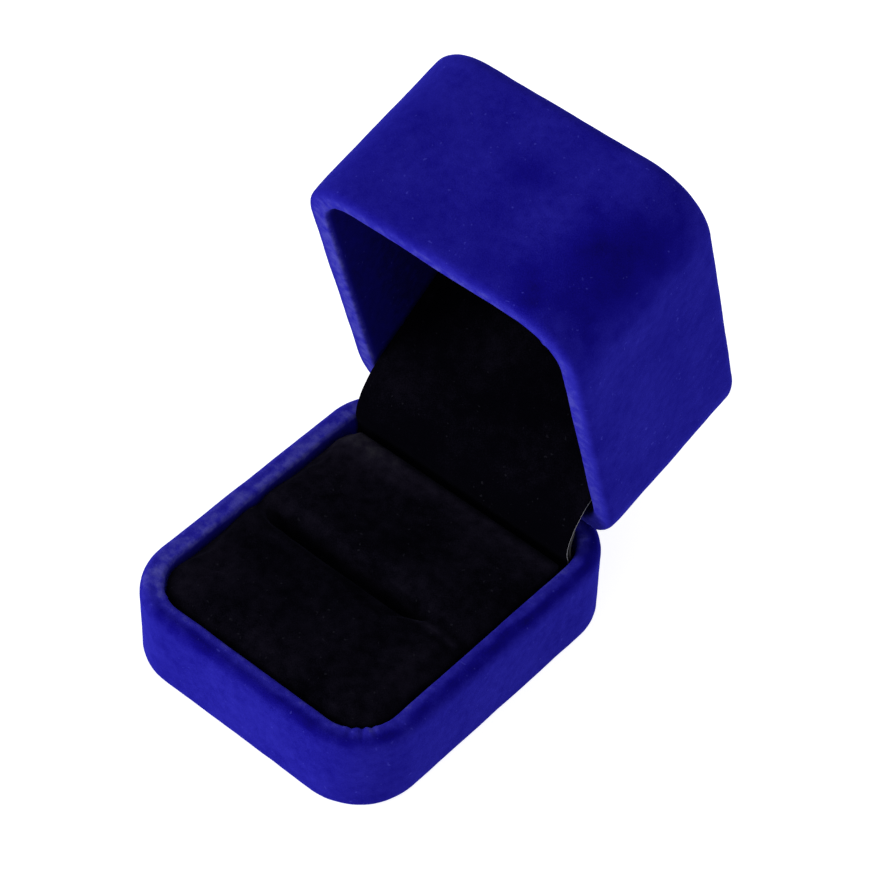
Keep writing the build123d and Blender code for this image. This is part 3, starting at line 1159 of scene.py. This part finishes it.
@dataclass
class RingPad:
    """Foam pad in black velvet with a slit that grips a ring."""

    voxel: float = 0.7
    scale: float = 10.0  # the pad is puffed at this many times its size
    corner: float = 7.0
    edge_height: float = 14.15
    crown: float = 0.3
    rear_swell: float = 1.15  # how much the top rises towards the rear
    left_fall: float = 1.2  # how much it falls at the rear left corner
    slit_y: float = -2.5
    slit_half: float = 19.8
    slit_open: float = 2.2
    slit_floor: float = 5.6
    narrowing: float = 0.3  # how much of its opening the slit loses towards the right
    give: float = 0.75
    puff_steps: int = 20
    shoulder: float = 1.6  # how rounded the rear crest is
    crest_rise: float = 1.5
    crest_lean: float = 0.4
    headroom: float = 1.1  # how far the crest may stand above the pad's own box
    piece: bpy.types.Object | None = None

    def half_width(self, y: float, front: float, side: float) -> float:
        """Half the pad's width at y, less at the rounded front corners.

        Args:
            y: the place along the pad.
            front: the pad's front.
            side: half the pad's full width.

        Returns:
            Half the width there.
        """
        into = front + self.corner - y
        if into <= 0:
            return side
        return side - self.corner + math.sqrt(max(self.corner**2 - into**2, 0.0))

    def surface(self, u: np.ndarray, x: np.ndarray, y: float, front: float, rear: float) -> np.ndarray:
        """The pad's top before it is puffed.

        Args:
            u: from -1 to 1 across the pad.
            x: the points' x.
            y: the row's y.
            front: the pad's front.
            rear: the pad's rear.

        Returns:
            The height of each point.
        """
        v = (y - front) / (rear - front)
        across = 1.0 - np.abs(u) ** np.where(u > 0, 9.0, 4.0)
        along = 1.0 - max(1.0 - v * 5.0, 0.0) ** 2
        top = self.edge_height + self.crown * across * along
        top += self.rear_swell * across * smooth_rise(y, rear - 10.0, rear - 0.8)
        return top - self.left_fall * smooth_rise(-x, 17.0, 22.0) * smooth_rise(y, rear - 4.0, rear)

    def block(self) -> bpy.types.Object:
        """The pad's cut shape, with its slit.

        Returns:
            The new object.
        """
        low, high = node_box("ring_pad_cover")
        side, front, rear = high[0] + 0.15, low[1] - 0.1, high[1] + 0.2
        half = self.slit_open / 2
        lips = [self.slit_y - half, self.slit_y - half + 0.3, self.slit_y, self.slit_y + half - 0.3]
        ys = list(np.arange(front, self.slit_y - half - 0.4, 0.8)) + lips
        ys += list(np.linspace(self.slit_y + half, rear, 26))
        us = np.linspace(-1.0, 1.0, 61)
        shape = bmesh.new()
        tops, bottoms = [], []
        for y in ys:
            x = us * self.half_width(y, front, side)
            z = self.surface(us, x, y, front, rear)
            row = np.full(len(us), y)
            from_slit = abs(y - self.slit_y)
            if from_slit < half - 0.2:
                open_here = 1.0 - smooth_rise(np.abs(x), self.slit_half - 1.5, self.slit_half)
                z = z - 0.7 - (z - 0.7 - self.slit_floor) * open_here
            if from_slit < half + 0.01:
                closing = 1.0 - self.narrowing * smooth_rise(x, 6.0, self.slit_half)
                row = self.slit_y + (y - self.slit_y) * closing
            tops.append([shape.verts.new(Vector(p) * MM) for p in zip(x, row, z)])
            bottoms.append([shape.verts.new((a * MM, y * MM, low[2] * MM)) for a in x])
        self.close(shape, tops, bottoms)
        return finished("ring_pad", shape)

    def close(self, shape: bmesh.types.BMesh, tops: list[list], bottoms: list[list]) -> None:
        """Adds the faces of the pad's top, underside and sides.

        Args:
            shape: the mesh that holds the points.
            tops: the top's points, row by row.
            bottoms: the underside's points, row by row.
        """
        rows, columns = len(tops), len(tops[0])
        for row in range(rows - 1):
            upper, after = tops[row], tops[row + 1]
            lower, below = bottoms[row], bottoms[row + 1]
            for i in range(columns - 1):
                shape.faces.new((upper[i], upper[i + 1], after[i + 1], after[i]))
                shape.faces.new((below[i], below[i + 1], lower[i + 1], lower[i]))
        rim = [(row, 0) for row in range(rows)] + [(rows - 1, i) for i in range(1, columns)]
        rim += [(row, columns - 1) for row in range(rows - 2, -1, -1)]
        rim += [(0, i) for i in range(columns - 2, 0, -1)]
        for (a, b), (c, d) in zip(rim, rim[1:] + rim[:1]):
            shape.faces.new((tops[a][b], tops[c][d], bottoms[c][d], bottoms[a][b]))
        bmesh.ops.recalc_face_normals(shape, faces=shape.faces)

    def remesh(self) -> None:
        """Gives the pad an even mesh."""
        modifier = self.piece.modifiers.new("Even", "REMESH")
        modifier.mode = "VOXEL"
        modifier.voxel_size = self.voxel * MM
        modifier.use_smooth_shade = True
        self.bake()

    def bake(self) -> None:
        """Applies every modifier on the pad."""
        view = bpy.context.evaluated_depsgraph_get()
        mesh = bpy.data.meshes.new_from_object(self.piece.evaluated_get(view))
        self.piece.modifiers.clear()
        self.piece.data = mesh
        mesh.name = self.piece.name

    def soften(self, rounds: int) -> None:
        """Softens the pad's edges.

        Args:
            rounds: how many times they are smoothed.
        """
        shape = bmesh.new()
        shape.from_mesh(self.piece.data)
        axes = {"use_axis_x": True, "use_axis_y": True, "use_axis_z": True}
        for _ in range(rounds):
            bmesh.ops.smooth_vert(shape, verts=shape.verts, factor=0.5, **axes)
        shape.to_mesh(self.piece.data)
        shape.free()

    def puff(self) -> None:
        """Fills the pad with cloth pressure, its underside and slit held still."""
        rest = read_points(self.piece)
        write_points(self.piece, rest * self.scale)
        deep = (rest[:, 2] < 4.4) | ((np.abs(rest[:, 1] - self.slit_y) < 3.0) & (rest[:, 2] < 10.0))
        held = self.piece.vertex_groups.new(name="held")
        held.add([int(i) for i in np.nonzero(deep)[0]], 1.0, "REPLACE")
        cloth = self.piece.modifiers.new("Puff", "CLOTH")
        cloth.settings.quality = 5
        cloth.settings.vertex_group_mass = "held"
        cloth.settings.use_pressure = True
        cloth.settings.uniform_pressure_force = 4.0
        cloth.settings.effector_weights.gravity = 0.0
        cloth.collision_settings.use_collision = False
        cloth.collision_settings.use_self_collision = False
        cloth.point_cache.frame_start = 1
        cloth.point_cache.frame_end = self.puff_steps
        for step in range(1, self.puff_steps + 1):
            bpy.context.scene.frame_set(step)
        self.bake()
        bpy.context.scene.frame_set(1)
        moved = read_points(self.piece) / self.scale - rest
        length = np.linalg.norm(moved, axis=1)
        log.info("pad puffed by up to %.2f mm, capped at %.2f", length.max(), self.give)
        moved *= np.minimum(1.0, self.give / np.maximum(length, 1e-9))[:, None]
        write_points(self.piece, rest + moved)
        self.piece.vertex_groups.clear()

    def build(self) -> None:
        """Cuts the pad, puffs it and seats it in the base."""
        low, high = node_box("ring_pad_cover")
        self.piece = self.block()
        self.remesh()
        self.soften(3)
        self.puff()
        points = read_points(self.piece)
        up = smooth_rise(points[:, 2], low[2] + 3.0, low[2] + 7.0)
        lift(points, read_normals(self.piece), 0.06 * ripple(points, 5.0, 31.0) * up)
        self.seat(points, low, high)
        write_points(self.piece, points)
        self.paint_pile_and_light(points, high)
        add_subdivision(self.piece, 1)

    def seat(self, points: np.ndarray, low: np.ndarray, high: np.ndarray) -> None:
        """Raises the rear crest and fits the pad between the walls, in place.

        Args:
            points: one row each, in millimetres.
            low: the lowest corner of the pad's own box.
            high: its highest corner.
        """
        crest = smooth_rise(points[:, 1], high[1] - 4.5, high[1] - 0.6)
        crest *= 1.0 - smooth_rise(-points[:, 0], 18.0, 21.5)
        points[:, 2] += self.crest_rise * crest * smooth_rise(points[:, 2], high[2] - 5.0, high[2] - 0.8)
        points[:, 1] += self.crest_lean * crest * smooth_rise(points[:, 2], high[2] - 3.0, high[2])
        points[:, 0] = np.clip(points[:, 0], -high[0] - 0.15, high[0] + 0.15)
        points[:, 1] = np.clip(points[:, 1], low[1] - 0.15, high[1] + 0.25)
        past = np.clip(points[:, 1] - high[1] + self.shoulder - 0.1, 0.0, self.shoulder)
        fall = self.shoulder - np.sqrt(self.shoulder**2 - past**2)
        points[:, 2] = np.clip(points[:, 2], low[2], high[2] + self.headroom - fall)

    def paint_pile_and_light(self, points: np.ndarray, high: np.ndarray) -> None:
        """Stores the pile's tone with painted light: a painted highlight along the slit's front lip and the
        rear crest, and lighter towards the rear left.

        Args:
            points: one row each, in millimetres.
            high: the highest corner of the pad's own box.
        """
        x, y, z = points.T
        # painted highlight along the slit's front lip
        lip = hump(y, self.slit_y - self.slit_open / 2 - 0.2, 0.7) * (np.abs(x) < self.slit_half + 0.5)
        lip *= smooth_rise(z, high[2] - 2.0, high[2] - 0.9) * (0.6 + 0.9 * hump(x, 15.0, 5.0))
        rear = smooth_rise(y, high[1] - 9.0, high[1] - 3.0) * smooth_rise(-x, 0.0, 16.0)
        # painted highlight along the rear crest
        crest = hump(y, high[1] - 1.4, 2.6) * smooth_rise(z, high[2] - 1.5, high[2] + 0.3)
        set_pile_and_painted_light(self.piece, 1.1 * lip + 1.3 * rear + 0.75 * crest + 0.3 * ripple(points, 7.0, 33.0))

    def dress(self) -> None:
        """Gives the pad its finish and its place in the model."""
        dress(self.piece, BLACK_VELVET)
        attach(self.piece, "base")
        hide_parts("ring_pad_foam", "ring_pad_cover")


# ---- The black linings --------------------------------------------------------------------------


def slab(name: str, path: np.ndarray, half: float, thick: float, count: int) -> bpy.types.Object:
    """A soft-edged strip of cloth along a path in the side plane.

    Args:
        name: the piece's name.
        path: (y, z) of the shown face, one row each.
        half: half the strip's width.
        thick: the strip's thickness.
        count: how many points it has across.

    Returns:
        The new object.
    """
    ahead = np.gradient(path, axis=0)
    ahead /= np.linalg.norm(ahead, axis=1)[:, None]
    behind = np.column_stack([ahead[:, 1], -ahead[:, 0]])
    edge = thick / 2
    flat = half - edge
    across = np.linspace(-flat, flat, count)
    turns = np.linspace(0.35, math.pi - 0.35, 6)
    section = [(x, 0.0) for x in across]
    section += [(flat + edge * math.sin(t), edge - edge * math.cos(t)) for t in turns]
    section += [(x, thick) for x in across[::-1]]
    section += [(-flat - edge * math.sin(t), edge + edge * math.cos(t)) for t in turns]
    rings = [
        np.array([(x, y + by * depth, z + bz * depth) for x, depth in section])
        for (y, z), (by, bz) in zip(path, behind)
    ]
    return loft(name, rings, False, True)


@dataclass
class HingeCover:
    """Black velvet that runs from the base over the hinge and up the lid's panel."""

    hinge: Hinge
    thick: float = 0.5
    step: float = 0.6
    ease: float = 0.25  # how far it reaches past the strip on each side
    # Each bend over the hinge: its angle in degrees, and how far it stands off the strip.
    bends: tuple[tuple[float, float], ...] = (
        (196.0, 0.25),
        (188.0, 0.4),
        (180.0, 0.5),
        (171.0, 0.5),
        (162.0, 0.45),
        (152.0, 0.45),
        (142.0, 0.6),
    )
    length: float = 0.0
    width: float = 0.0
    piece: bpy.types.Object | None = None
    start: np.ndarray = field(init=False)
    end: np.ndarray = field(init=False)

    def build(self) -> None:
        """Runs the cloth along the strip's arc and the panel's face."""
        strip_low, strip_high = node_box("hinge_strip_velvet")
        panel = node_points("lid_panel_velvet")
        foot = panel[np.argmin(panel[:, 1])][1:]
        head = panel[np.argmax(panel[:, 2])][1:]
        axis = np.array([self.hinge.y, self.hinge.z])
        radius = self.hinge.y - strip_low[1]
        arc = []
        for angle, gap in self.bends:
            turn = math.radians(angle)
            arc.append(axis + (radius + gap) * np.array([math.cos(turn), math.sin(turn)]))
        rise = np.linalg.norm(head - foot)
        lean = (head - foot) / rise
        lower = np.array([arc[0][0], strip_low[2] + 0.05])
        knots = [lower, lower + (0.0, 4.0), lower + (0.0, 7.5)] + arc
        knots += [foot + lean * t for t in np.linspace(1.0, rise, 12)]
        path = self.even(np.array(knots))
        half = strip_high[0] + self.ease
        self.piece = slab("hinge_cover", path, half, self.thick, 48)
        points = read_points(self.piece)
        points[:, 2] = np.maximum(points[:, 2], strip_low[2])
        write_points(self.piece, points)
        self.length = float(np.linalg.norm(np.diff(path, axis=0), axis=1).sum())
        self.width = 2 * half
        self.start = np.array([0.0, *arc[1]])
        self.end = np.array([0.0, *foot])
        shade = 0.25 * smooth_rise(-points[:, 2], -26.0, -14.0)
        set_pile_and_painted_light(self.piece, 0.15 * ripple(points, 8.0, 41.0) - 0.3 - shade)

    def even(self, knots: np.ndarray) -> np.ndarray:
        """A smooth path through the knots with even steps.

        Args:
            knots: (y, z) of each, one row each.

        Returns:
            The path's points, one row each.
        """
        for _ in range(3):
            quarter = [knots[0]]
            for a, b in zip(knots[:-1], knots[1:]):
                quarter += [0.75 * a + 0.25 * b, 0.25 * a + 0.75 * b]
            knots = np.array(quarter + [knots[-1]])
        gaps = np.concatenate([[0.0], np.cumsum(np.linalg.norm(np.diff(knots, axis=0), axis=1))])
        at = np.linspace(0.0, gaps[-1], round(gaps[-1] / self.step))
        return np.column_stack([np.interp(at, gaps, knots[:, i]) for i in range(2)])

    def dress(self) -> None:
        """Gives the cloth its finish, with a pale backing on its cut edges."""
        dress(self.piece, BLACK_VELVET)
        self.piece.data.materials.append(CLOTH_BACKING.material())
        cut_edge = (0.5 * self.width - 0.03 * self.thick) * MM
        for face in self.piece.data.polygons:
            face.material_index = int(abs(face.center.x) > cut_edge)
        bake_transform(self.piece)
        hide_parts("hinge_strip_velvet", "lid_panel_velvet")


@dataclass
class CeilingLiner:
    """Black velvet on the card inside the lid's top."""

    hinge: Hinge
    corner: float = 7.0
    softness: float = 0.75  # the share of its thickness that its edge is rounded by
    piece: bpy.types.Object | None = None

    def build(self) -> None:
        """Lofts the liner with a soft edge, then opens it with the lid."""
        low, high = shut_box("lid_ceiling_velvet", self.hinge)
        plan = Plan(high[0], (high[1] - low[1]) / 2, self.corner, 1.2, 0.7)
        shift = np.array([0.0, (high[1] + low[1]) / 2, 0.0])
        soft = self.softness * (high[2] - low[2])
        turns = np.linspace(0, 1.5, 5)
        face = [(soft * (1 - math.sin(t)), low[2] + soft * (1 - math.cos(t))) for t in turns]
        rings = [plan.ring(*p) + shift for p in face + [(0.0, high[2])]]
        disc = [plan.ring(soft, low[2]) * (s, s, 1.0) + shift for s in np.linspace(0.03, 1.0, 18)[:-1]]
        back = [plan.ring(0.0, high[2]) * (s, s, 1.0) + shift for s in (0.6, 0.2)]
        self.piece = loft("ceiling_liner", disc + rings + back, False, True)
        points = read_points(self.piece)
        facing = points[:, 2] < high[2] - 0.1
        lift(points, read_normals(self.piece), 0.06 * ripple(points, 6.0, 51.0) * facing)
        set_pile_and_painted_light(self.piece, 0.2 * ripple(points, 9.0, 52.0))
        write_points(self.piece, self.hinge.turned(points, 1.0))

    def dress(self) -> None:
        """Gives the liner its finish and its place in the model."""
        dress(self.piece, BLACK_VELVET)
        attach(self.piece, "lid")
        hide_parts("lid_ceiling_velvet")


# ---- Parts kept from the CAD model --------------------------------------------------------------


@dataclass
class Hardware:
    """The shells, cards and hinge parts, which keep their CAD shapes."""

    finishes: dict[str, tuple[Finish, str]] = field(
        default_factory=lambda: {
            "base_shell": (SHELL_PLASTIC, "shell_plastic"),
            "lid_shell": (SHELL_PLASTIC, "shell_plastic"),
            "base_bottom_pad": (UNDERSIDE_CARD, "underside_card"),
            "pad_board": (GREYBOARD, "greyboard"),
            "hinge_strip_card": (BLACK_CARD, "greyboard"),
            "lid_panel_card": (BLACK_CARD, "greyboard"),
            "lid_ceiling_card": (BLACK_CARD, "greyboard"),
            "hinge_base_leaf": (HINGE_STEEL, "hinge_steel"),
            "hinge_lid_leaf": (HINGE_STEEL, "hinge_steel"),
            "hinge_base_rivets": (HINGE_STEEL, "hinge_steel"),
            "hinge_lid_rivets": (HINGE_STEEL, "hinge_steel"),
            "hinge_pin": (HINGE_STEEL, "hinge_steel"),
            "hinge_spring": (HINGE_STEEL, "hinge_steel"),
        }
    )

    def dress(self) -> None:
        """Gives each part its finish."""
        for name, (finish, slot) in self.finishes.items():
            dress(frame["nodes"][name], finish)


# ---- Stage, light and camera --------------------------------------------------------------------

WHITE = (1.0, 1.0, 1.0)


@dataclass(frozen=True)
class Lamp:
    """A soft square lamp that faces the box."""

    name: str
    place: tuple[float, float, float]  # in metres
    size: float  # its side, in metres
    power: float  # in watts
    aim: tuple[float, float, float] = (0.0, 0.01, 0.03)

    def build(self) -> None:
        """Adds the lamp to the scene."""
        data = bpy.data.lights.new(self.name, "AREA")
        data.size = self.size
        data.energy = self.power
        made = bpy.data.objects.new(self.name, data)
        made.location = self.place
        toward = Vector(self.aim) - Vector(self.place)
        made.rotation_euler = toward.to_track_quat("-Z", "Y").to_euler()
        bpy.context.scene.collection.objects.link(made)


@dataclass
class Studio:
    """A lit white table, a white surround and soft lamps."""

    surround: float = 0.6
    table_size: float = 3.0  # from its middle to its edge, in metres
    table_glow: float = 0.75
    table_greys: tuple[float, float] = (0.58, 0.6)
    lamps: tuple[Lamp, ...] = (
        Lamp("key", (-0.6, -0.9, 0.36), 0.6, 12.0),
        Lamp("fill", (0.8, -0.2, 0.7), 0.7, 2.1),
    )

    def build(self) -> None:
        """Makes the table, the surround and the lamps."""
        darker, lighter = ((grey, grey, grey) for grey in self.table_greys)
        shader = Shader("white_table")
        shader.set(Base_Color=shader.mix(shader.cloud(60.0, 1.0), darker, lighter), Roughness=0.9)
        shader.set(Specular_IOR_Level=0.1, Emission_Color=WHITE, Emission_Strength=self.table_glow)
        shape = bmesh.new()
        bmesh.ops.create_grid(shape, x_segments=8, y_segments=8, size=self.table_size)
        table = finished("table", shape)
        table.data.materials.append(shader.material)
        world = bpy.data.worlds.new("surround")
        world.use_nodes = True
        sky = world.node_tree.nodes["Background"]
        sky.inputs["Color"].default_value = (*WHITE, 1.0)
        sky.inputs["Strength"].default_value = self.surround
        bpy.context.scene.world = world
        for lamp in self.lamps:
            lamp.build()


@dataclass
class Camera:
    """A long lens above the box's front right corner."""

    place: tuple[float, float, float] = (208.37, -233.25, 383.07)
    aim: tuple[float, float, float] = (-0.18, 14.16, 31.38)
    roll: float = 1.814  # in degrees
    lens: float = 131.144
    sensor: float = 36.0

    def build(self) -> None:
        """Makes the camera and gives it to the scene."""
        data = bpy.data.cameras.new("camera")
        data.lens = self.lens
        data.sensor_width = self.sensor
        data.clip_start = 0.01
        data.clip_end = 50.0
        made = bpy.data.objects.new("camera", data)
        made.location = Vector(self.place) * MM
        turn = (Vector(self.aim) - Vector(self.place)).to_track_quat("-Z", "Y").to_matrix().to_4x4()
        turn = turn @ Matrix.Rotation(math.radians(self.roll), 4, "Z")
        made.rotation_mode = "QUATERNION"
        made.rotation_quaternion = turn.to_quaternion()
        bpy.context.scene.collection.objects.link(made)
        bpy.context.scene.camera = made


def main() -> None:
    """Builds the camera, the stage and every piece, in order."""
    logging.basicConfig(level=logging.INFO, format="%(name)s: %(message)s")
    Camera().build()
    Studio().build()
    bpy.context.scene.view_settings.view_transform = "Standard"
    hinge = Hinge()
    pieces: list[Wrap | RingPad | HingeCover | CeilingLiner] = [
        BaseWrap(Side.BASE, hinge, BASE_PLEATS),
        LidWrap(Side.LID, hinge, LID_PLEATS, marks=LID_MARKS),
        RingPad(),
        HingeCover(hinge),
        CeilingLiner(hinge),
    ]
    for part in pieces:
        part.build()
        part.dress()
        log.info("%s: %d faces", part.piece.name, len(part.piece.data.polygons))
    Hardware().dress()


if __name__ == "__main__":
    main()
